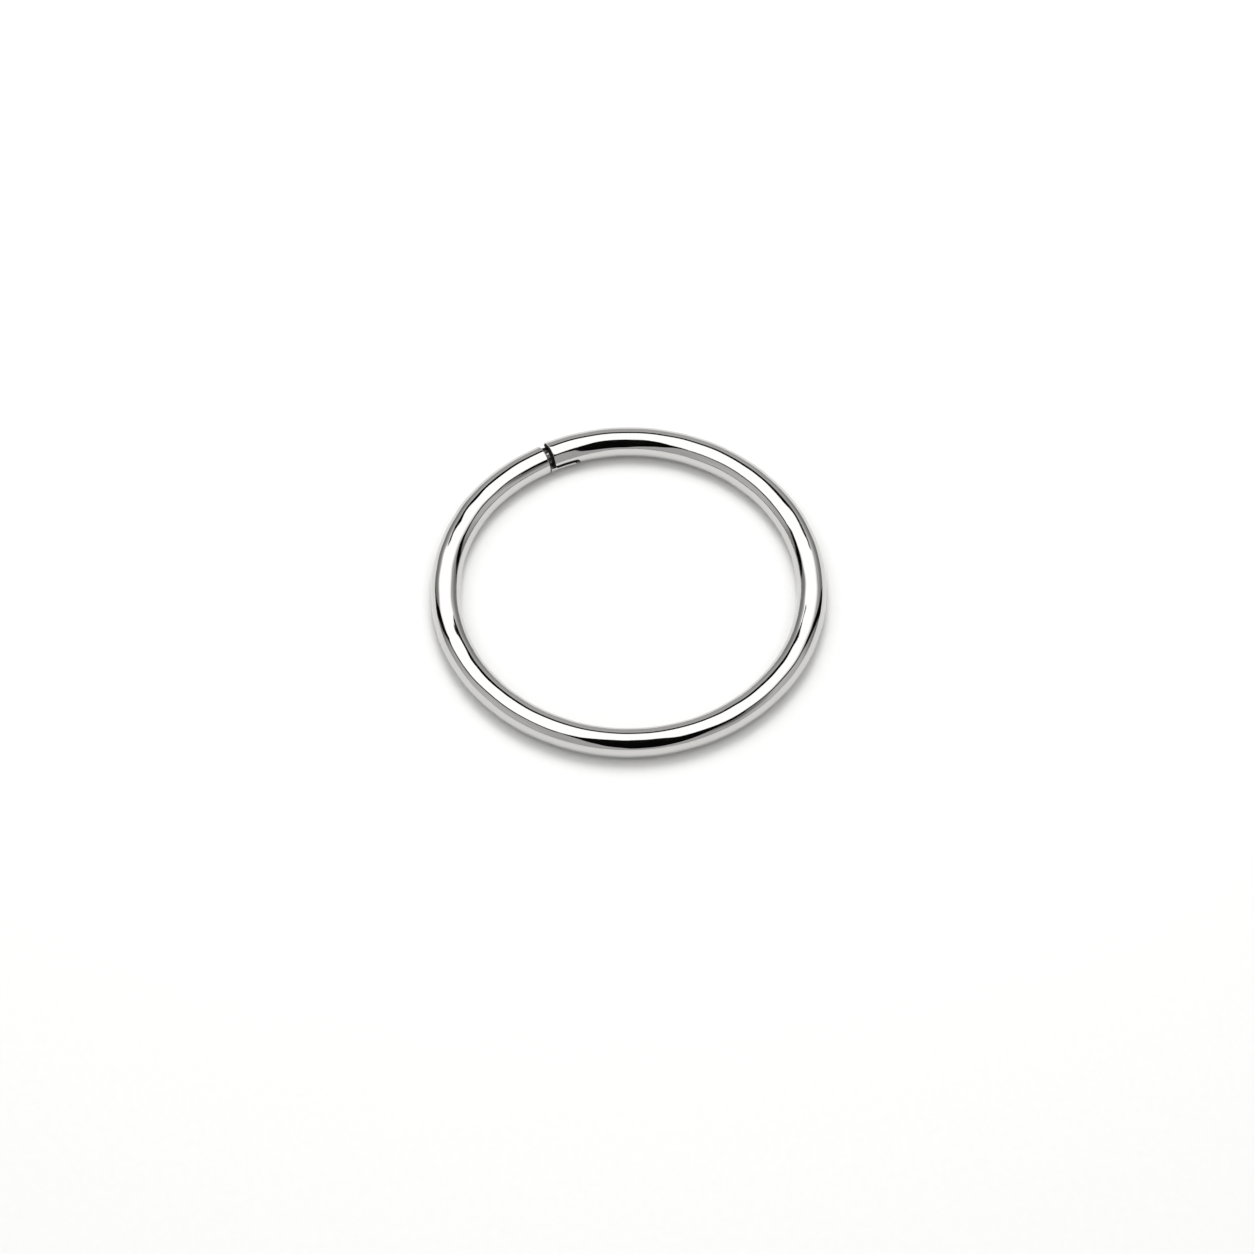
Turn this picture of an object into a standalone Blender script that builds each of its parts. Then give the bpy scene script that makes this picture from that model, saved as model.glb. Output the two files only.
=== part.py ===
"""Twist hoop: a round wire bent into a circle, with two ends that lap into each other.

One end runs out into a tongue, which is the lower half of the wire with a thin neck on top.
The other end is a hood, which is the upper half of the wire with a channel for the neck.
The wire is one springy piece of metal. Twisting it lifts the hood off the tongue and opens it.

Run with blender --background --python part.py, or from Blender's text editor.
Lengths are in metres and +Z is up. The hoop lies flat on z = 0 with its middle over the origin.
"""
import math

import bmesh
import bpy

MM = 0.001

# The ring
OUTER_DIAMETER = 20.0 * MM
WIRE_DIAMETER = 1.5 * MM
JOINT_ANGLE = math.radians(117.75)   # where the plain end's rim is, from +X towards +Y
RIM_ROUNDING = 0.04 * MM

# The tongue, measured from the plain rim
TONGUE_LENGTH = 1.63 * MM
TONGUE_CORNER = 0.20 * MM           # rounding of the tip's upper corner, seen from the side
GROOVE_WIDTH = 0.06 * MM            # fine groove between the plain rim and the tongue
GROOVE_DEPTH = 0.08 * MM
NECK_DIAMETER = 0.84 * MM

# Clearances between the tongue and the hood
MOUTH_GAP = 0.36 * MM               # from the plain rim to the hood's rim
SLIT = 0.08 * MM                    # between the tongue's top and the hood's underside
TIP_GAP = 0.15 * MM                 # ahead of the tongue's tip
NECK_CLEARANCE = 0.05 * MM          # round the neck, in the hood's channel

# The tongue's end of the wire sits a little nearer the middle of the ring than the hood
END_OFFSET = 0.065 * MM
OFFSET_SPAN = math.radians(30.0)

# Mesh fineness
HALF_SIDES = 13                     # sides on half a section, odd so that one lies flat below
RING_STEP = math.radians(3.0)
ROUNDING_STEPS = 3
SHARP_ANGLE = math.radians(35.0)

# Worked out from the sizes above
WIRE_RADIUS = WIRE_DIAMETER / 2
RING_RADIUS = OUTER_DIAMETER / 2 - WIRE_RADIUS
HALF_SLIT = SLIT / 2
NECK_RADIUS = NECK_DIAMETER / 2
CHANNEL_RADIUS = NECK_RADIUS + NECK_CLEARANCE
PART_ANGLE = math.asin(HALF_SLIT / WIRE_RADIUS)
SIDE_ANGLE = (math.pi - 2 * PART_ANGLE) / HALF_SIDES
REST_HEIGHT = WIRE_RADIUS * math.cos(SIDE_ANGLE / 2)   # from the flat side below to the wire's middle
SHOULDER = TONGUE_LENGTH + TIP_GAP                     # from the plain rim to where the hood begins
TIP_CORNER = min(TONGUE_CORNER, NECK_RADIUS / 2)       # the rounding stays beside the neck
HOOD_CORNER = TIP_CORNER + TIP_GAP
HOOD_SPLIT = math.asin((HALF_SLIT - HOOD_CORNER) / WIRE_RADIUS)


def arc(radius, start, end):
    """Points on half a section, as distances out from the wire's middle and up from it."""
    points = []
    for i in range(HALF_SIDES + 1):
        angle = start + (end - start) * i / HALF_SIDES
        points.append((radius * math.cos(angle), max(radius * math.sin(angle), -REST_HEIGHT)))
    return points


def whole_section(upper_inset=0.0, lower_inset=0.0, split=PART_ANGLE):
    """The full round wire. Its upper half starts at the angle split above the middle."""
    gap = 2 * PART_ANGLE
    upper = arc(WIRE_RADIUS - upper_inset, split, math.pi - split)
    lower = arc(WIRE_RADIUS - lower_inset, math.pi - split + gap, 2 * math.pi + split - gap)
    return upper + lower


def tongue_section(inset=0.0, drop=0.0):
    """The lower half of the wire, with the neck standing on its flat top."""
    top = -HALF_SLIT - drop
    foot = math.asin(top / NECK_RADIUS)
    edge = math.asin(top / (WIRE_RADIUS - inset))
    neck = arc(NECK_RADIUS, foot, math.pi - foot)
    belly = arc(WIRE_RADIUS - inset, math.pi - edge, 2 * math.pi + edge)
    return neck + belly


def hood_section(inset=0.0, drop=0.0):
    """The upper half of the wire, with the neck's channel along its underside."""
    under = HALF_SLIT + inset - drop
    edge = math.asin(under / (WIRE_RADIUS - inset))
    mouth = math.asin(under / (CHANNEL_RADIUS + inset))
    back = arc(WIRE_RADIUS - inset, edge, math.pi - edge)
    channel = arc(CHANNEL_RADIUS + inset, math.pi - mouth, mouth)
    return back + channel


def rounding(length):
    """Pairs of distance along and depth in, round a quarter circle of this radius."""
    for i in range(ROUNDING_STEPS + 1):
        turn = math.pi / 2 * i / ROUNDING_STEPS
        yield length * math.sin(turn), length * (1 - math.cos(turn))


def tongue_stations():
    """Sections from the tongue's tip back to the plain rim, with distances from that rim."""
    stations = []
    for along, depth in rounding(RIM_ROUNDING):
        stations.append((TONGUE_LENGTH - RIM_ROUNDING + along, tongue_section(depth, TIP_CORNER)))
    stations.reverse()
    for along, depth in reversed(list(rounding(TIP_CORNER))):
        stations.append((TONGUE_LENGTH - RIM_ROUNDING - TIP_CORNER + along, tongue_section(drop=depth)))
    for along, depth in rounding(RIM_ROUNDING):
        stations.append((GROOVE_WIDTH + RIM_ROUNDING - along, tongue_section(depth)))
    stations.append((GROOVE_WIDTH, tongue_section(GROOVE_DEPTH)))
    stations.append((0.0, tongue_section(GROOVE_DEPTH)))
    for along, depth in reversed(list(rounding(RIM_ROUNDING))):
        stations.append((along - RIM_ROUNDING, whole_section(depth, depth)))
    return stations


def hood_stations():
    """Sections from the hood's shoulder out to its rim, with distances from the plain rim."""
    stations = []
    for along, depth in rounding(RIM_ROUNDING):
        stations.append((SHOULDER + RIM_ROUNDING - along, whole_section(0.0, depth, HOOD_SPLIT)))
    for along, depth in reversed(list(rounding(HOOD_CORNER))):
        stations.append((SHOULDER - HOOD_CORNER + along, hood_section(drop=depth)))
    for along, depth in rounding(RIM_ROUNDING):
        stations.append((MOUTH_GAP + RIM_ROUNDING - along, hood_section(depth)))
    return stations


def centre_radius(angle):
    """The ring's radius at this angle past the plain rim, smaller near the tongue's end."""
    past = min(max(angle / OFFSET_SPAN, 0.0), 1.0)
    ease = 1 - past * past * (3 - 2 * past)
    return RING_RADIUS - END_OFFSET * ease


def placed(section, angle):
    """A section's points in space, at an angle past the plain rim."""
    turn = JOINT_ANGLE + angle
    middle = centre_radius(angle)
    return [((middle + out) * math.cos(turn), (middle + out) * math.sin(turn), REST_HEIGHT + up)
            for out, up in section]


def ring_sections():
    """Every section of the hoop in space, from the tongue's tip round to the hood's rim."""
    sections = [placed(section, -along / RING_RADIUS) for along, section in tongue_stations()]
    hood = [(2 * math.pi - along / RING_RADIUS, section) for along, section in hood_stations()]
    start = RING_STEP
    end = hood[0][0]
    count = round((end - start) / RING_STEP)
    for i in range(count):
        share = i / count
        split = PART_ANGLE + (HOOD_SPLIT - PART_ANGLE) * share
        sections.append(placed(whole_section(split=split), start + (end - start) * share))
    sections += [placed(section, angle) for angle, section in hood]
    return sections


def wire_mesh(name, sections):
    """A closed mesh with side faces from each section to the next and a face on both ends."""
    bm = bmesh.new()
    loops = [[bm.verts.new(point) for point in section] for section in sections]
    for first, second in zip(loops, loops[1:]):
        for i in range(len(first)):
            j = (i + 1) % len(first)
            bm.faces.new((first[i], first[j], second[j], second[i]))
    bm.faces.new(reversed(loops[0]))
    bm.faces.new(loops[-1])
    bmesh.ops.remove_doubles(bm, verts=bm.verts, dist=0.0001 * MM)
    bmesh.ops.recalc_face_normals(bm, faces=bm.faces)
    mesh = bpy.data.meshes.new(name)
    bm.to_mesh(mesh)
    bm.free()
    mesh.shade_smooth()
    mesh.set_sharp_from_angle(angle=SHARP_ANGLE)
    return mesh


def polished_steel():
    material = bpy.data.materials.new("polished_steel")
    material.use_nodes = True
    shader = material.node_tree.nodes["Principled BSDF"]
    shader.inputs["Base Color"].default_value = (0.78, 0.78, 0.77, 1.0)
    shader.inputs["Metallic"].default_value = 1.0
    shader.inputs["Roughness"].default_value = 0.06
    return material


def main():
    for old in list(bpy.data.objects):
        bpy.data.objects.remove(old)
    hoop = bpy.data.objects.new("hoop", wire_mesh("hoop", ring_sections()))
    hoop.data.materials.append(polished_steel())
    bpy.context.scene.collection.objects.link(hoop)


main()
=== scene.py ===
# %% [markdown]
# # A twist hoop in polished steel
#
# A twist hoop is one length of round, springy wire, bent into a ring. Its two ends don't just
# meet: they are shaped so that one lies in the other, and a sideways twist parts them.
# A mirror-polished ring has almost no colour of its own. It shows the room, so this script builds
# three things: an exact ring, a polished metal, and a small photo studio for it to reflect.
#
# Everything is in metres. The hoop lies on its side on z = 0, with its middle over the origin.

# %% The frame that the hoop belongs to
import math

import bmesh
import bpy
from mathutils import Euler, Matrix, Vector, noise


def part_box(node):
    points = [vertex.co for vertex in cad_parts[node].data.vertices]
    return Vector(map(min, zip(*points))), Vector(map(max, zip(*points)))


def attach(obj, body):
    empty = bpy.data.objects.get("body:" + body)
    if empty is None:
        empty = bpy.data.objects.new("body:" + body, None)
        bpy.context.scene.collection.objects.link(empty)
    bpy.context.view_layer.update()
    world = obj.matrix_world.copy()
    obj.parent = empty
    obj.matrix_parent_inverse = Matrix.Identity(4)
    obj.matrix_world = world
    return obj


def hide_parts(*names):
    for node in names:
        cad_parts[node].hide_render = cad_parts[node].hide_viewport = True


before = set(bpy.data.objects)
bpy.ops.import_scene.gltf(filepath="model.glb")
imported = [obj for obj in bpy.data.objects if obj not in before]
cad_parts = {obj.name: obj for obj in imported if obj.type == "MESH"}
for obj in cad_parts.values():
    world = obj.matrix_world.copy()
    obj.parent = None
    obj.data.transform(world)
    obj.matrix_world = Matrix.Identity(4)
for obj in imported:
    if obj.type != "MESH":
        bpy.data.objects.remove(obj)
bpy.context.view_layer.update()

MM = 0.001

# %% [markdown]
# ## The wire's sizes
#
# The ring is 20 mm across outside and the wire is 1.5 mm thick. The joint is cut in steps that are
# much finer than the wire, so each of its sizes has a name here. One end of the wire is a tongue:
# the lower half of the wire, with a thin round neck on its flat top. The other end is a hood, the
# upper half of the wire, with a channel for the neck. Distances along the wire are counted from
# the plain rim where the tongue starts. The tongue's tip and the notch ahead of it, in the hood's
# end of the wire, have a rounded corner each. The notch's corner is sharper than in the solid
# model, which leaves the small dark spot at its foot.

# %% Sizes of the ring and its joint
OUTER_DIAMETER = 20.0 * MM
WIRE_DIAMETER = 1.5 * MM
JOINT_ANGLE = math.radians(117.75)
RIM_ROUNDING = 0.04 * MM
TONGUE_LENGTH = 1.63 * MM
TIP_CORNER = 0.20 * MM
HOOD_CORNER = 0.20 * MM
GROOVE_WIDTH = 0.06 * MM
GROOVE_DEPTH = 0.08 * MM
NECK_RADIUS = 0.42 * MM
MOUTH_GAP = 0.36 * MM
SLIT = 0.08 * MM
# The notch ahead of the tongue's tip. Its small dark spot is partly painted shade: the faces inside it are
# painted black.
TIP_GAP = 0.15 * MM
NECK_CLEARANCE = 0.05 * MM
END_OFFSET = 0.065 * MM
OFFSET_SPAN = math.radians(30.0)

WIRE_RADIUS = WIRE_DIAMETER / 2
RING_RADIUS = OUTER_DIAMETER / 2 - WIRE_RADIUS
HALF_SLIT = SLIT / 2
CHANNEL_RADIUS = NECK_RADIUS + NECK_CLEARANCE
SHOULDER = TONGUE_LENGTH + TIP_GAP

low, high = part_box("hoop")
print(f"solid hoop: {(high[0] - low[0]) / MM:.3f} mm across, {(high[2] - low[2]) / MM:.3f} mm thick")

# %% [markdown]
# ## Sections of the wire
#
# The hoop could be cut from a torus with Booleans, but a mirror shows every uneven face that a
# Boolean leaves. Instead the wire is a row of sections, as in a loft. Every section has the same
# number of points, so neighbours join with plain four-sided faces. Half a section is an outline
# that runs from its right edge over the top to its left edge, with both edges rounded.

# %% Half a section, with rounded edges
FILLET_STEPS = 4
ARC_STEPS = 56
HALF_POINTS = 2 * (FILLET_STEPS + 1) + ARC_STEPS - 1


def half_outline(radius, edge_height, rounding):
    lift = edge_height + rounding
    turn = math.asin(lift / (radius - rounding))
    centre = (radius - rounding) * math.cos(turn)
    points = []
    for i in range(FILLET_STEPS + 1):
        angle = -math.pi / 2 + (turn + math.pi / 2) * i / FILLET_STEPS
        points.append((centre + rounding * math.cos(angle), lift + rounding * math.sin(angle)))
    left_edge = [(-out, up) for out, up in reversed(points)]
    for i in range(1, ARC_STEPS):
        angle = turn + (math.pi - 2 * turn) * i / ARC_STEPS
        points.append((radius * math.cos(angle), radius * math.sin(angle)))
    return points + left_edge


def plain_arc(radius, start, end):
    angles = [start + (end - start) * i / (HALF_POINTS - 1) for i in range(HALF_POINTS)]
    return [(radius * math.cos(angle), radius * math.sin(angle)) for angle in angles]


def below(points):
    """The same outline turned over, from its left edge under the wire to its right edge."""
    return [(out, -up) for out, up in reversed(points)]


print(f"each section has {2 * HALF_POINTS} points")

# %% [markdown]
# Three kinds of section are enough for the whole hoop. The whole wire uses the points of the two
# shaped ends, pushed out onto the full circle, so that its mesh lines run on into theirs.
# "Drop" is how far the cut between the two ends lies below the wire's middle: it follows the
# rounded corner at the tongue's tip.

# %% The three kinds of section
def onto_circle(points, radius):
    return [(out * radius / math.hypot(out, up), up * radius / math.hypot(out, up)) for out, up in points]


def whole_section(upper_inset=0.0, lower_inset=0.0, drop=0.0):
    upper = half_outline(WIRE_RADIUS, HALF_SLIT - drop, RIM_ROUNDING)
    lower = below(half_outline(WIRE_RADIUS, HALF_SLIT + drop, RIM_ROUNDING))
    return onto_circle(upper, WIRE_RADIUS - upper_inset) + onto_circle(lower, WIRE_RADIUS - lower_inset)


def tongue_section(inset=0.0, drop=0.0):
    top = HALF_SLIT + drop
    foot = -math.asin(top / NECK_RADIUS)
    neck = plain_arc(NECK_RADIUS, foot, math.pi - foot)
    rounding = max(RIM_ROUNDING - inset, 0.0)
    return neck + below(half_outline(WIRE_RADIUS - inset, top, rounding))


def hood_section(inset=0.0, drop=0.0):
    under = HALF_SLIT - drop + inset
    mouth = math.asin(under / (CHANNEL_RADIUS + inset))
    channel = plain_arc(CHANNEL_RADIUS + inset, math.pi - mouth, mouth)
    return half_outline(WIRE_RADIUS - inset, under, RIM_ROUNDING - inset) + channel


# %% [markdown]
# ## Stations along the joint
#
# A station is a section and its distance from the plain rim. Two stations at the same distance
# make a flat step, such as the face where the tongue starts. A rounded rim is a quarter circle of
# stations, each set in a little more than the last. Between the steps the stations follow each other
# every degree of the ring, because a mirror shows a straight stretch in a curve at once. One more
# station marks how far in the neck is filed metal; further in it is painted black, as painted shade.
# The gap ahead of the tongue's tip goes right through the wire's lower half, so a thinner core fills
# its middle and keeps light from passing through; the core is painted black too, as painted shade.

# %% Stations of the tongue and of the hood
ROUNDING_STEPS = 5
CORNER_STEPS = 12
RING_STEP = math.radians(1.0)
NECK_BEFORE_BLACK = 0.26 * MM
CORE_DEPTH = 0.14 * MM
CORE_LENGTH = 0.12 * MM


def rounding(length, steps=ROUNDING_STEPS):
    """Pairs of distance along and depth in, round a quarter circle of this radius."""
    turns = [math.pi / 2 * i / steps for i in range(steps + 1)]
    return [(length * math.sin(turn), length * (1 - math.cos(turn))) for turn in turns]


def repeated(section, start, end):
    """The same section from one distance to another, one for each step round the ring."""
    count = math.ceil(abs(end - start) / (RING_STEP * RING_RADIUS))
    return [(start + (end - start) * i / count, section) for i in range(1, count)]


def tongue_stations():
    core = tongue_section(CORE_DEPTH, TIP_CORNER)
    stations = [(TONGUE_LENGTH + CORE_LENGTH, core), (TONGUE_LENGTH, core)]
    for along, depth in reversed(rounding(RIM_ROUNDING)):
        stations.append((TONGUE_LENGTH - RIM_ROUNDING + along, tongue_section(depth, TIP_CORNER)))
    for along, depth in reversed(rounding(TIP_CORNER, CORNER_STEPS)):
        stations.append((TONGUE_LENGTH - RIM_ROUNDING - TIP_CORNER + along, tongue_section(drop=depth)))
    stations += repeated(tongue_section(), stations[-1][0], NECK_BEFORE_BLACK)
    stations.append((NECK_BEFORE_BLACK, tongue_section()))
    for along, depth in rounding(RIM_ROUNDING):
        stations.append((GROOVE_WIDTH + RIM_ROUNDING - along, tongue_section(depth)))
    stations.append((GROOVE_WIDTH, tongue_section(GROOVE_DEPTH)))
    stations.append((0.0, tongue_section(GROOVE_DEPTH)))
    for along, depth in reversed(rounding(RIM_ROUNDING)):
        stations.append((along - RIM_ROUNDING, whole_section(depth, depth)))
    return stations


def hood_stations():
    stations = []
    for along, depth in rounding(RIM_ROUNDING):
        stations.append((SHOULDER + RIM_ROUNDING - along, whole_section(0.0, depth, HOOD_CORNER)))
    for along, depth in reversed(rounding(HOOD_CORNER, CORNER_STEPS)):
        stations.append((SHOULDER - HOOD_CORNER + along, hood_section(drop=depth)))
    stations += repeated(hood_section(), stations[-1][0], MOUTH_GAP + RIM_ROUNDING)
    for along, depth in rounding(RIM_ROUNDING):
        stations.append((MOUTH_GAP + RIM_ROUNDING - along, hood_section(depth)))
    return stations


print(f"{len(tongue_stations())} stations on the tongue, {len(hood_stations())} on the hood")

# %% [markdown]
# ## Round the ring
#
# The sections are set square to the ring, all the way round from the tongue's tip to the hood's
# rim. Real wire is polished by hand on a wheel, which leaves it about a hundredth of a millimetre
# uneven. The eye can't see that in the outline, but it sees it at once in the reflections, whose
# edges waver. So each point moves in or out a little, by a smooth noise. The hood's end was also
# dressed with a file, which left a flat of a few hundredths of a millimetre on its inner side. It
# shows as one even grey face between a thin dark line and a thin bright one.

# %% Sections in space
SKIN_DEPTH = 0.06 * MM
WAVE_LENGTH = 1.3 * MM
WAVE_HEIGHT = 0.016 * MM
FLAT_MIDDLE = math.radians(145.0)
FLAT_HALF = math.radians(17.0)
FLAT_FULL = 0.5 * MM
FLAT_END = 3.9 * MM


def centre_radius(angle):
    """The ring's radius past the plain rim: this end sits nearer the middle and eases back out."""
    past = min(max(angle / OFFSET_SPAN, 0.0), 1.0)
    return RING_RADIUS - END_OFFSET * (1 - past * past * (3 - 2 * past))


def flat_share(angle):
    """How much of the flat there is: all of it at the hood's end, fading out behind it."""
    behind_rim = (2 * math.pi - angle) * RING_RADIUS
    past = min(max((behind_rim - FLAT_FULL) / (FLAT_END - FLAT_FULL), 0.0), 1.0)
    return 1 - past * past * (3 - 2 * past)


def flattened(out, up, share):
    """A point on the wire's skin, moved in to the flat if it lies there."""
    off = abs(math.atan2(up, out) - FLAT_MIDDLE)
    if off >= FLAT_HALF or math.hypot(out, up) < WIRE_RADIUS - SKIN_DEPTH:
        return out, up
    scale = 1 - share * (1 - math.cos(FLAT_HALF) / math.cos(off))
    return out * scale, up * scale


def placed(section, angle):
    share = flat_share(angle)
    if share > 0:
        section = [flattened(out, up, share) for out, up in section]
    turn = JOINT_ANGLE + angle
    outward = Vector((math.cos(turn), math.sin(turn), 0.0))
    upward = Vector((0.0, 0.0, 1.0))
    middle = outward * centre_radius(angle) + upward * WIRE_RADIUS
    points = []
    for out, up in section:
        offset = outward * out + upward * up
        wave = WAVE_HEIGHT * noise.noise((middle + offset) / WAVE_LENGTH)
        points.append(middle + offset * (1 + wave / WIRE_RADIUS))
    return points


def ring_stations():
    """Pairs of angle past the plain rim and section, from the tongue's tip to the hood's rim."""
    stations = [(-along / RING_RADIUS, section) for along, section in tongue_stations()]
    hood = [(2 * math.pi - along / RING_RADIUS, section) for along, section in hood_stations()]
    start = RING_STEP / 4
    end = hood[0][0] - RING_STEP / 4
    count = round((end - start) / RING_STEP)
    for i in range(count + 1):
        share = i / count
        section = whole_section(drop=HOOD_CORNER * share)
        stations.append((start + (end - start) * share, section))
    return stations + hood


# %% [markdown]
# ## One closed mesh
#
# The faces between neighbouring sections make the skin, and one face closes each end. The points
# get texture coordinates in millimetres, along the wire and round it, so that polishing marks can
# follow the wire. Faces well below the wire's skin belong to the inside of the joint. The neck shows
# in the mouth of the joint as filed metal, painted dark as shade and with a painted highlight.
# Further in, all over the hood's inside and on both end faces, the cut faces are painted black as
# painted shade. Past the mouth this painted shade also covers most of the rounding on the slit's
# edges. Each face is numbered here for its material, and the three materials are made further down.

# %% The hoop's mesh
# Past the joint's mouth, faces deeper than this are painted black as painted shade, on the slit's edge
# roundings too.
SEAM_DEPTH = 0.012 * MM
WELD_DISTANCE = 0.0001 * MM
SHARP_ANGLE = math.radians(35.0)
# The three materials: polished steel, filed steel painted dark as shade with a painted highlight, and
# black painted shade.
POLISHED, FILED_SHADED, PAINTED_SHADE = range(3)


def finish_at(along, points):
    """The finish of a face, polished, filed with painted shade, or painted black as shade, from its place
    along the wire and its corners as out and up.
    """
    out = sum(point[0] for point in points) / len(points)
    up = sum(point[1] for point in points) / len(points)
    depth = WIRE_RADIUS - math.hypot(out, up)
    from_rim = min(abs(along), 2 * math.pi * RING_RADIUS - along)
    skin = SEAM_DEPTH if from_rim > MOUTH_GAP + RIM_ROUNDING else SKIN_DEPTH
    if depth < skin:
        return POLISHED
    # Deep faces: the neck in the mouth is filed steel painted dark as shade; the rest is painted black as
    # shade.
    return FILED_SHADED if -NECK_BEFORE_BLACK < along < RIM_ROUNDING else PAINTED_SHADE


def hoop_mesh():
    bm = bmesh.new()
    uv = bm.loops.layers.uv.new("wire_mm")
    stations = ring_stations()
    loops = [[bm.verts.new(point) for point in placed(section, angle)] for angle, section in stations]
    count = 2 * HALF_POINTS
    girth = math.pi * WIRE_DIAMETER / MM
    for k in range(len(loops) - 1):
        near = stations[k][1]
        far = stations[k + 1][1]
        start = stations[k][0] * RING_RADIUS / MM
        end = stations[k + 1][0] * RING_RADIUS / MM
        for i in range(count):
            j = (i + 1) % count
            face = bm.faces.new((loops[k][i], loops[k][j], loops[k + 1][j], loops[k + 1][i]))
            corners = (near[i], near[j], far[j], far[i])
            face.material_index = finish_at((start + end) / 2 * MM, corners)
            around = (girth * i / count, girth * (i + 1) / count)
            places = ((start, around[0]), (start, around[1]), (end, around[1]), (end, around[0]))
            for loop, place in zip(face.loops, places):
                loop[uv].uv = place
    for end_points in (reversed(loops[0]), loops[-1]):
        face = bm.faces.new(end_points)
        # Both end faces are painted black as painted shade.
        face.material_index = PAINTED_SHADE
    bmesh.ops.remove_doubles(bm, verts=bm.verts, dist=WELD_DISTANCE)
    bmesh.ops.recalc_face_normals(bm, faces=bm.faces)
    mesh = bpy.data.meshes.new("polished_hoop")
    bm.to_mesh(mesh)
    bm.free()
    mesh.shade_smooth()
    mesh.set_sharp_from_angle(angle=SHARP_ANGLE)
    return mesh


hoop = bpy.data.objects.new("polished_hoop", hoop_mesh())
bpy.context.scene.collection.objects.link(hoop)
weighted = hoop.modifiers.new("weighted_normals", "WEIGHTED_NORMAL")
weighted.keep_sharp = True
weighted.weight = 100
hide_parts("hoop")
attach(hoop, "root")
print(f"hoop: {len(hoop.data.polygons)} faces")

# %% [markdown]
# ## Colours and nodes
#
# Colours are written as they look on screen, as sRGB hex. Shaders work in linear light, so one
# function converts them. One more function adds a node with its settings and links.

# %% Helpers for materials
def linear(hex_colour):
    """An sRGB hex colour such as "#d0cfcd" as linear red, green, blue and alpha."""
    channels = [int(hex_colour[i:i + 2], 16) / 255 for i in (1, 3, 5)]
    return [c / 12.92 if c <= 0.04045 else ((c + 0.055) / 1.055) ** 2.4 for c in channels] + [1.0]


def add_node(tree, kind, links=None, values=None, **settings):
    """Adds a node, sets its properties and its input values, and links its inputs."""
    node = tree.nodes.new(kind)
    for name, value in settings.items():
        setattr(node, name, value)
    for name, value in (values or {}).items():
        node.inputs[name].default_value = value
    for name, source in (links or {}).items():
        tree.links.new(source, node.inputs[name])
    return node


def new_material(name):
    material = bpy.data.materials.new(name)
    material.use_nodes = True
    material.node_tree.nodes.clear()
    return material, material.node_tree


# %% [markdown]
# ## Mirror-polished steel
#
# Stainless steel reflects a little over half of the light and is nearly neutral in colour. The
# last polish is done with a soft wheel and fine compound. It leaves a mirror with very fine hazy
# lines that run with the wire, a roughness of a few hundredths, and slightly duller patches where
# fingers or the cloth have been. The lines are really 0.01 mm wide. At this scale they would
# vanish, so they are drawn 0.06 mm wide and very shallow.

# %% Polished steel
LINE_WIDTH = 0.06
LINE_LENGTH = 2.5
HAZE_SIZE = 1.2

steel, tree = new_material("polished_stainless_steel")
wire = add_node(tree, "ShaderNodeUVMap", uv_map="wire_mm")
lines_at = add_node(tree, "ShaderNodeMapping", {"Vector": wire.outputs["UV"]},
                    {"Scale": (1 / LINE_LENGTH, 1 / LINE_WIDTH, 1.0)})
lines = add_node(tree, "ShaderNodeTexNoise", {"Vector": lines_at.outputs["Vector"]},
                 {"Scale": 1.0, "Detail": 3.0, "Roughness": 0.6})
haze_at = add_node(tree, "ShaderNodeMapping", {"Vector": wire.outputs["UV"]},
                   {"Scale": (0.5 / HAZE_SIZE, 1 / HAZE_SIZE, 1.0)})
haze = add_node(tree, "ShaderNodeTexNoise", {"Vector": haze_at.outputs["Vector"]},
                {"Scale": 1.0, "Detail": 4.0, "Roughness": 0.55})
haze_roughness = add_node(tree, "ShaderNodeMapRange", {"Value": haze.outputs["Fac"]},
                          {"From Min": 0.35, "From Max": 0.7, "To Min": 0.03, "To Max": 0.075})
tone = add_node(tree, "ShaderNodeMix", {"Factor": haze.outputs["Fac"]}, data_type="RGBA")
tone.inputs["A"].default_value = linear("#cfcecd")
tone.inputs["B"].default_value = linear("#cac9c7")
relief = add_node(tree, "ShaderNodeBump", {"Height": lines.outputs["Fac"]},
                  {"Strength": 0.05, "Distance": 0.002 * MM})
shader = add_node(tree, "ShaderNodeBsdfPrincipled",
                  {"Base Color": tone.outputs["Result"], "Roughness": haze_roughness.outputs["Result"],
                   "Normal": relief.outputs["Normal"]},
                  {"Metallic": 1.0})
add_node(tree, "ShaderNodeOutputMaterial", {"Surface": shader.outputs["BSDF"]})
print("made", steel.name)

# %% [markdown]
# ## The filed neck, painted dark as shade, with a painted highlight
#
# The neck in the mouth of the joint was cut with a file, and no wheel reaches it. It is the same
# steel and dull, and its colour is painted dark, as painted shade of the narrow joint. One small
# spot on its top is painted bright, a painted highlight where the softbox shows in the neck. The
# spot is drawn by its distance from one point in the wire's texture coordinates.

# %% Filed steel, painted dark as shade, with a painted highlight
FILE_MARK = 0.03 * MM
# The painted highlight on the neck's top: its middle, and where it is full and where it has faded out.
HIGHLIGHT_PLACE = (-0.20, 1.16, 0.0)   # millimetres along the wire and round it, as in wire_mm
HIGHLIGHT_FULL = 0.03
HIGHLIGHT_REACH = 0.12

filed_shaded_steel, tree = new_material("filed_steel_painted_shade")
coordinates = add_node(tree, "ShaderNodeTexCoord")
marks = add_node(tree, "ShaderNodeTexNoise", {"Vector": coordinates.outputs["Object"]},
                 {"Scale": 1 / FILE_MARK, "Detail": 2.0, "Roughness": 0.5})
filed_shade_tone = add_node(tree, "ShaderNodeMix", {"Factor": marks.outputs["Fac"]}, data_type="RGBA")
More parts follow.
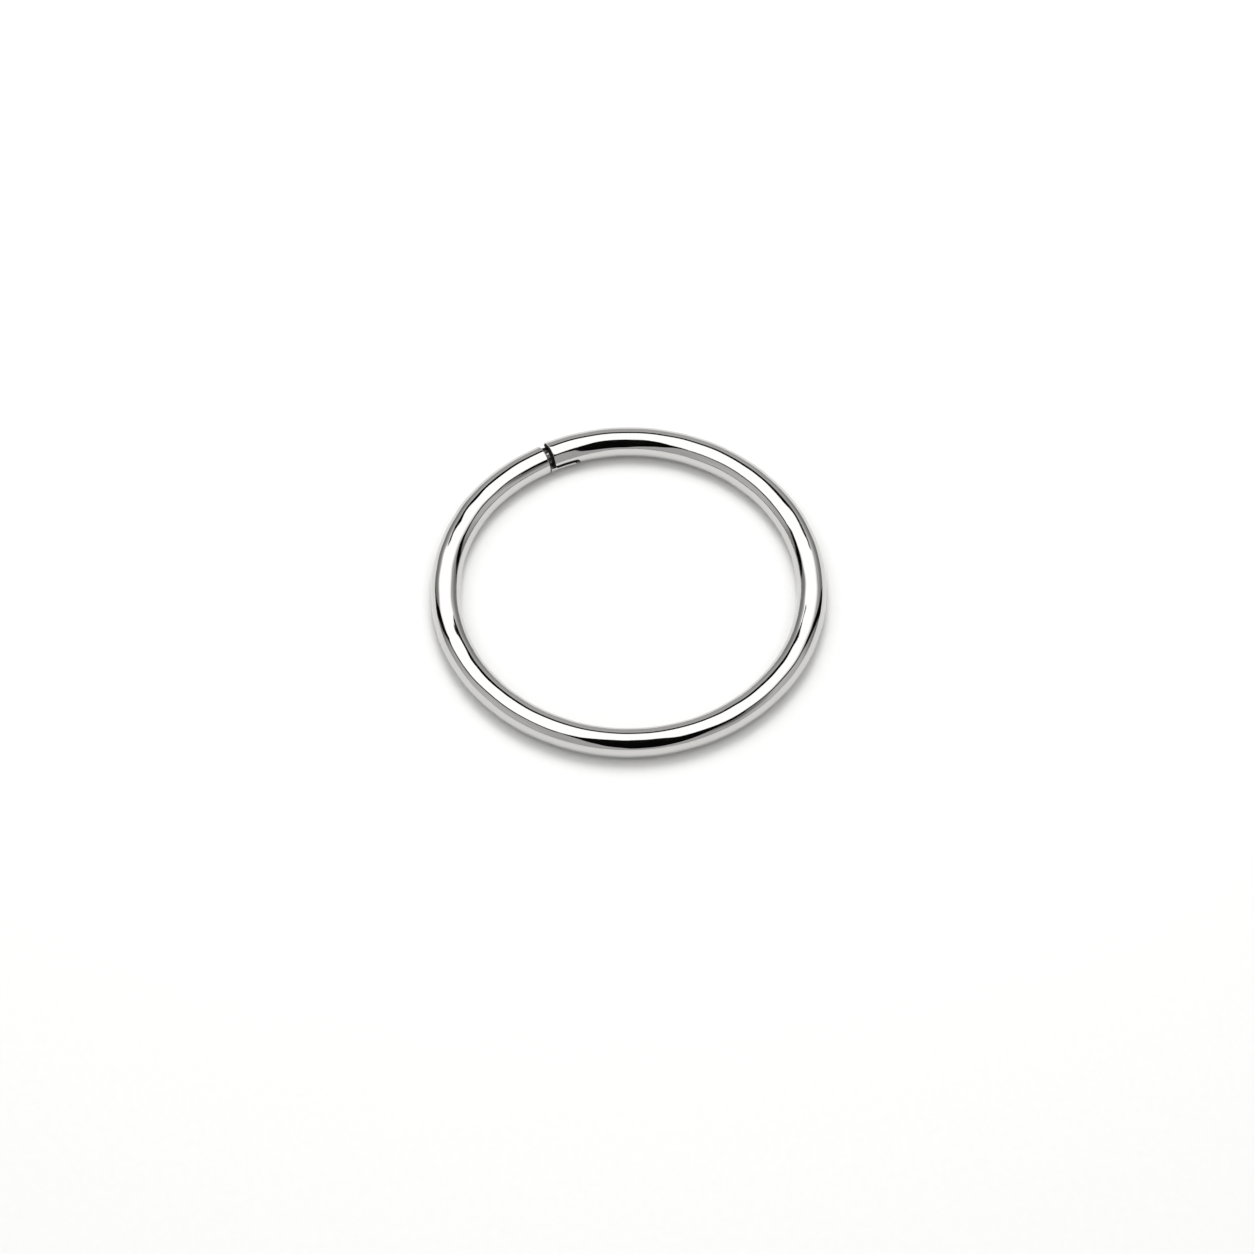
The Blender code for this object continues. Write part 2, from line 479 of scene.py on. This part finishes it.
# Dark tones of the neck: painted shade over the filed steel's marks.
filed_shade_tone.inputs["A"].default_value = linear("#454341")
filed_shade_tone.inputs["B"].default_value = linear("#5b5956")
wire = add_node(tree, "ShaderNodeUVMap", uv_map="wire_mm")
from_spot = add_node(tree, "ShaderNodeVectorMath", {0: wire.outputs["UV"]}, {1: HIGHLIGHT_PLACE},
                     operation="DISTANCE")
painted_highlight = add_node(tree, "ShaderNodeMapRange", {"Value": from_spot.outputs["Value"]},
                  {"From Min": HIGHLIGHT_FULL, "From Max": HIGHLIGHT_REACH, "To Min": 1.0, "To Max": 0.0},
                  interpolation_type="SMOOTHSTEP")
neck_tone = add_node(tree, "ShaderNodeMix", {"Factor": painted_highlight.outputs["Result"],
                                             "A": filed_shade_tone.outputs["Result"]}, data_type="RGBA")
# The painted highlight's colour, as bright as the polished steel.
neck_tone.inputs["B"].default_value = linear("#cfcecd")
grain = add_node(tree, "ShaderNodeBump", {"Height": marks.outputs["Fac"]},
                 {"Strength": 0.3, "Distance": 0.004 * MM})
shader = add_node(tree, "ShaderNodeBsdfPrincipled",
                  {"Base Color": neck_tone.outputs["Result"], "Normal": grain.outputs["Normal"]},
                  {"Metallic": 1.0, "Roughness": 0.24})
add_node(tree, "ShaderNodeOutputMaterial", {"Surface": shader.outputs["BSDF"]})
print("made", filed_shaded_steel.name)

# %% [markdown]
# ## Painted shade in the joint
#
# The faces deep in the joint are painted near black, as painted shade for the shade that fills it.
# That is why the fine gaps of the joint look like drawn black lines, although they are cut in bright
# steel. The paint is matt and not metallic, with a faint speckle and relief.

# %% Painted black shade in the joint
SHADE_SPECKLE_SIZE = 0.05 * MM

joint_shade_paint, tree = new_material("painted_joint_shade")
coordinates = add_node(tree, "ShaderNodeTexCoord")
shade_speckle = add_node(tree, "ShaderNodeTexNoise", {"Vector": coordinates.outputs["Object"]},
                 {"Scale": 1 / SHADE_SPECKLE_SIZE, "Detail": 3.0, "Roughness": 0.6})
joint_shade_tone = add_node(tree, "ShaderNodeMix", {"Factor": shade_speckle.outputs["Fac"]}, data_type="RGBA")
# Near-black tones: painted shade of the joint.
joint_shade_tone.inputs["A"].default_value = linear("#0b0b0a")
joint_shade_tone.inputs["B"].default_value = linear("#24221f")
shade_relief = add_node(tree, "ShaderNodeBump", {"Height": shade_speckle.outputs["Fac"]},
                 {"Strength": 0.4, "Distance": 0.008 * MM})
shader = add_node(tree, "ShaderNodeBsdfPrincipled",
                  {"Base Color": joint_shade_tone.outputs["Result"], "Normal": shade_relief.outputs["Normal"]},
                  {"Roughness": 0.85, "Specular IOR Level": 0.2})
add_node(tree, "ShaderNodeOutputMaterial", {"Surface": shader.outputs["BSDF"]})

for material in (steel, filed_shaded_steel, joint_shade_paint):
    hoop.data.materials.append(material)
print("made", joint_shade_paint.name)

# %% [markdown]
# ## The table
#
# The hoop lies on smooth matt white board, the kind that is sold for mounting pictures. It throws
# back about two thirds of the light, evenly to all sides, and is lit until it just comes out white,
# so its fine paper fibres only show where the hoop keeps the light off.

# %% White board
BOARD_REACH = 2.0
FIBRE_SIZE = 0.4 * MM

board_paint, tree = new_material("white_board")
coordinates = add_node(tree, "ShaderNodeTexCoord")
fibre = add_node(tree, "ShaderNodeTexNoise", {"Vector": coordinates.outputs["Object"]},
                 {"Scale": 1 / FIBRE_SIZE, "Detail": 3.0})
board_tone = add_node(tree, "ShaderNodeMix", {"Factor": fibre.outputs["Fac"]}, data_type="RGBA")
board_tone.inputs["A"].default_value = linear("#dadad9")
board_tone.inputs["B"].default_value = linear("#d6d6d5")
shader = add_node(tree, "ShaderNodeBsdfPrincipled", {"Base Color": board_tone.outputs["Result"]},
                  {"Roughness": 0.9, "Specular IOR Level": 0.1})
add_node(tree, "ShaderNodeOutputMaterial", {"Surface": shader.outputs["BSDF"]})


def studio_sheet(name, corners, material):
    """A flat or nearly flat sheet of the studio, made of one face."""
    bm = bmesh.new()
    bm.faces.new([bm.verts.new(corner) for corner in corners])
    mesh = bpy.data.meshes.new(name)
    bm.to_mesh(mesh)
    bm.free()
    mesh.materials.append(material)
    sheet = bpy.data.objects.new(name, mesh)
    bpy.context.scene.collection.objects.link(sheet)
    return sheet


def level(corners, height):
    """Corners given as X and Y, all at one height."""
    return [(x, y, height) for x, y in corners]


board_corners = [(BOARD_REACH * x, BOARD_REACH * y) for x, y in ((-1, -1), (1, -1), (1, 1), (-1, 1))]
studio_sheet("white_board", level(board_corners, 0.0), board_paint)
print("board is", 2 * BOARD_REACH, "m across")

# %% [markdown]
# ## The camera
#
# The photo looks down at 55.5 degrees from the horizontal, from far away through a long lens:
# the wire looks just as thick at the front of the ring as at the back. One pixel of the
# 1254-pixel frame is 0.0505 mm at the hoop, and the hoop's middle lies a little above the frame's.

# %% Camera
FRAME_PIXELS = 1254
PIXELS_PER_RING_RADIUS = 183.2
HOOP_RIGHT_PIXELS = 1.7
HOOP_ABOVE_PIXELS = 36.0
CAMERA_DISTANCE = 0.555
CAMERA_ELEVATION = math.radians(55.5)
CAMERA_ROLL = math.radians(-0.23)
SENSOR_WIDTH = 36.0

pixel = RING_RADIUS / PIXELS_PER_RING_RADIUS
backward = Vector((0.0, -math.cos(CAMERA_ELEVATION), math.sin(CAMERA_ELEVATION)))
facing = backward.to_track_quat("Z", "Y").to_matrix() @ Euler((0.0, 0.0, CAMERA_ROLL)).to_matrix()
camera_right = facing.col[0]
camera_up = facing.col[1]
aim = Vector((0.0, 0.0, WIRE_RADIUS))
aim -= camera_right * (HOOP_RIGHT_PIXELS * pixel) + camera_up * (HOOP_ABOVE_PIXELS * pixel)

camera_data = bpy.data.cameras.new("camera")
camera_data.sensor_width = SENSOR_WIDTH
camera_data.lens = SENSOR_WIDTH * CAMERA_DISTANCE / (FRAME_PIXELS * pixel)
camera_data.clip_start = 0.01
camera = bpy.data.objects.new("camera", camera_data)
camera.location = aim + backward * CAMERA_DISTANCE
camera.rotation_euler = facing.to_euler()
bpy.context.scene.collection.objects.link(camera)
bpy.context.scene.camera = camera
print(f"lens {camera_data.lens:.0f} mm at {CAMERA_DISTANCE} m")

# %% [markdown]
# ## The softbox
#
# What a polished ring shows is the studio. A big softbox hangs over the table and makes the broad
# white band that runs round the whole wire. It could be an area light, but those are rectangles or
# discs, and the edges of the band show that the front corners of this one are cut off and that it
# reaches further out on the left. So it is a sheet with many corners that glows: full in the middle
# and fading towards its far corners, as a real diffuser does with one lamp behind it. The ring
# reflects it, but the camera doesn't see it, so that it can't hang in front of the hoop in any view.

# %% Softbox
SOFTBOX_HEIGHT = 0.50
SOFTBOX_CORNERS = ((0.26, -0.31), (0.40, -0.17), (0.55, -0.02), (0.68, 0.20), (0.68, 0.60),
                   (-0.36, 0.60), (-0.60, 0.66), (-0.92, 0.76), (-0.92, 0.50), (-0.86, 0.28),
                   (-0.74, 0.12), (-0.58, -0.03), (-0.40, -0.17), (-0.26, -0.31))
SOFTBOX_RADIANCE = 1.68
EDGE_RADIANCE = 0.45
LAMP_PLACE = (-0.15, 0.08, 0.0)
FADE_START = 0.70
FADE_END = 1.00

diffuser, tree = new_material("nylon_diffuser")
coordinates = add_node(tree, "ShaderNodeTexCoord")
from_lamp = add_node(tree, "ShaderNodeVectorMath", {0: coordinates.outputs["Object"]}, {1: LAMP_PLACE},
                     operation="DISTANCE")
glow = add_node(tree, "ShaderNodeMapRange", {"Value": from_lamp.outputs["Value"]},
                {"From Min": FADE_START, "From Max": FADE_END,
                 "To Min": SOFTBOX_RADIANCE, "To Max": EDGE_RADIANCE},
                interpolation_type="SMOOTHSTEP")
lamp = add_node(tree, "ShaderNodeEmission", {"Strength": glow.outputs["Result"]})
add_node(tree, "ShaderNodeOutputMaterial", {"Surface": lamp.outputs["Emission"]})

softbox = studio_sheet("softbox", level(SOFTBOX_CORNERS, SOFTBOX_HEIGHT), diffuser)
softbox.visible_camera = False
print("softbox hangs at", SOFTBOX_HEIGHT, "m")

# %% [markdown]
# ## Two small lamps
#
# The softbox alone is so wide that it lights the board from all sides, and the hoop would lie in a
# broad grey haze. A small key lamp above and a little behind the hoop gives a narrow shadow with a
# soft edge, which falls towards the camera. A weak fill lamp in front of the hoop lights that shadow
# from under the wire, so that it doesn't go black. Their own images in the metal would be bright
# spots that the photo doesn't show, so both lamps are hidden from reflections.

# %% Key lamp and fill lamp
def small_lamp(name, place, size, power):
    """A square lamp that faces the hoop. Neither the camera nor the metal sees it."""
    data = bpy.data.lights.new(name, "AREA")
    data.size = size
    data.energy = power
    small = bpy.data.objects.new(name, data)
    small.location = place
    small.rotation_euler = Vector(place).to_track_quat("Z", "Y").to_euler()
    small.visible_camera = False
    small.visible_glossy = False
    bpy.context.scene.collection.objects.link(small)
    print(f"{name} is {Vector(place).length:.2f} m from the hoop")


small_lamp("key_lamp", place=(0.0, 0.045, 0.13), size=0.06, power=0.085)
small_lamp("fill_lamp", place=(0.0, -0.35, 0.22), size=0.30, power=0.2)

# %% [markdown]
# ## Black cloth
#
# Strips of black cloth hang just under the softbox's edges and on two stands beside the table, and
# make the fine dark lines beside the white band. A large flag of the same cloth hides the camera.
# It makes the black patches at the front and the back of the ring, and a fold of it that hangs out
# to the right draws them out on that side. Strips that lie flat are listed by their corners in X and
# Y, and the stands and the flag by directions from the hoop, in degrees, as a photographer would
# place them. The cloth throws no shadow here, so that the table stays evenly white.

# %% Black strips and the camera's flag
CLOTH_GAP = 0.005
CLOTH_HEIGHT = SOFTBOX_HEIGHT - CLOTH_GAP
BACK_CLOTH_HALF = ((0.04, 0.39), (0.15, 0.44), (0.25, 0.475), (0.31, 0.51), (0.32, 0.62), (0.15, 0.66),
                   (0.04, 0.61))
RIGHT_CLOTH = ((0.27, -0.29), (0.40, -0.165), (0.51, -0.05), (0.58, 0.08), (0.64, 0.22), (0.67, 0.33),
               (0.82, 0.33), (0.76, 0.13), (0.71, 0.00), (0.62, -0.12), (0.48, -0.24), (0.31, -0.36))
LEFT_CLOTH = ((-0.27, -0.29), (-0.40, -0.165), (-0.54, -0.06), (-0.70, 0.09), (-0.83, 0.26),
              (-0.87, 0.40), (-1.04, 0.40), (-0.96, 0.16), (-0.84, 0.00), (-0.68, -0.12),
              (-0.48, -0.24), (-0.31, -0.36))
STAND_DISTANCE = 0.62
STAND_CORNERS = ((57, 0), (68, 0), (73, 20), (78, 32), (68, 37), (61, 25))
FLAG_DISTANCE = 0.40
FLAG_CORNERS = ((180, 77), (160, 75), (150, 69), (141, 60), (128, 51), (116, 46), (117, 37), (132, 34),
                (143, 28), (155, 19), (170, 12.5), (180, 11), (-169, 23), (-161, 34), (-153, 44),
                (-141, 48.5), (-122, 50), (-138, 53.5), (-150, 60), (-157, 70))

black_cloth, tree = new_material("black_cloth")
shader = add_node(tree, "ShaderNodeBsdfPrincipled", values={"Base Color": linear("#0c0c0c"),
                                                            "Roughness": 1.0, "Specular IOR Level": 0.0})
add_node(tree, "ShaderNodeOutputMaterial", {"Surface": shader.outputs["BSDF"]})


def both_halves(corners):
    """The corners of the right half, and after them their mirror images on the left."""
    return list(corners) + [(-x, y) for x, y in reversed(corners)]


def black_sheet(name, corners):
    """A sheet of cloth that only the ring's reflections show."""
    sheet = studio_sheet(name, corners, black_cloth)
    sheet.visible_camera = False
    sheet.visible_shadow = False
    sheet.visible_diffuse = False


def toward(azimuth, elevation, distance):
    """The point at this distance from the hoop, azimuth counted from the back towards the right."""
    azimuth = math.radians(azimuth)
    elevation = math.radians(elevation)
    along_floor = distance * math.cos(elevation)
    return Vector((along_floor * math.sin(azimuth), along_floor * math.cos(azimuth),
                   distance * math.sin(elevation)))


black_sheet("back_cloth", level(both_halves(BACK_CLOTH_HALF), CLOTH_HEIGHT))
for name, side, cloth in (("right", 1, RIGHT_CLOTH), ("left", -1, LEFT_CLOTH)):
    black_sheet(f"{name}_cloth", level(cloth, CLOTH_HEIGHT))
    stand = [toward(side * azimuth, elevation, STAND_DISTANCE) for azimuth, elevation in STAND_CORNERS]
    black_sheet(f"{name}_stand", stand)
black_sheet("camera_flag", [toward(*corner, FLAG_DISTANCE) for corner in FLAG_CORNERS])
print("the flag hangs", FLAG_DISTANCE, "m from the hoop")

# %% [markdown]
# ## The walls
#
# Plain light walls fill the rest. A wall is never evenly lit, and a mirror shows that, so the
# world's grey is varied by direction, as if it were painted on a ball of 1 m radius. A faint noise
# goes over all of it. Each row of the table is one broad patch: where its middle lies, how far it
# reaches, and how bright the wall is there compared with the rest.

# %% Walls with brighter and darker patches
WALL_RADIANCE = 0.54
WALL_UNEVENNESS = 0.08
SPOTS_PER_METRE = 5.0
WALL_PATCHES = (
    # azimuth, elevation and reach in degrees, and brightness
    (-53, 2, 40, 0.48),
    (53, 2, 40, 0.48),
    (-47, 34, 18, 1.5),
    (47, 34, 18, 1.5),
    (-112, 15, 35, 1.2),
    (104, 15, 30, 1.2),
    (124, 36, 22, 0.35),
)

walls = bpy.data.worlds.new("pale_walls")
walls.use_nodes = True
bpy.context.scene.world = walls
tree = walls.node_tree
direction = add_node(tree, "ShaderNodeTexCoord").outputs["Generated"]
unevenness = add_node(tree, "ShaderNodeTexNoise", {"Vector": direction},
                      {"Scale": SPOTS_PER_METRE, "Detail": 2.0})
strength = add_node(tree, "ShaderNodeMapRange", {"Value": unevenness.outputs["Fac"]},
                    {"From Min": 0.3, "From Max": 0.7, "To Min": (1 - WALL_UNEVENNESS) * WALL_RADIANCE,
                     "To Max": (1 + WALL_UNEVENNESS) * WALL_RADIANCE}).outputs["Result"]
for azimuth, elevation, reach, brightness in WALL_PATCHES:
    nearness = add_node(tree, "ShaderNodeVectorMath", {0: direction}, {1: toward(azimuth, elevation, 1.0)},
                        operation="DOT_PRODUCT")
    patch = add_node(tree, "ShaderNodeMapRange", {"Value": nearness.outputs["Value"]},
                     {"From Min": math.cos(math.radians(reach)), "From Max": 1.0,
                      "To Min": 1.0, "To Max": brightness}, interpolation_type="SMOOTHSTEP")
    product = add_node(tree, "ShaderNodeMath", {0: strength, 1: patch.outputs["Result"]},
                       operation="MULTIPLY")
    strength = product.outputs["Value"]
tree.links.new(strength, tree.nodes["Background"].inputs["Strength"])
tree.nodes["Background"].inputs["Color"].default_value = linear("#ffffff")
bpy.context.scene.view_settings.view_transform = "Standard"
print(len(WALL_PATCHES), "patches on the walls")
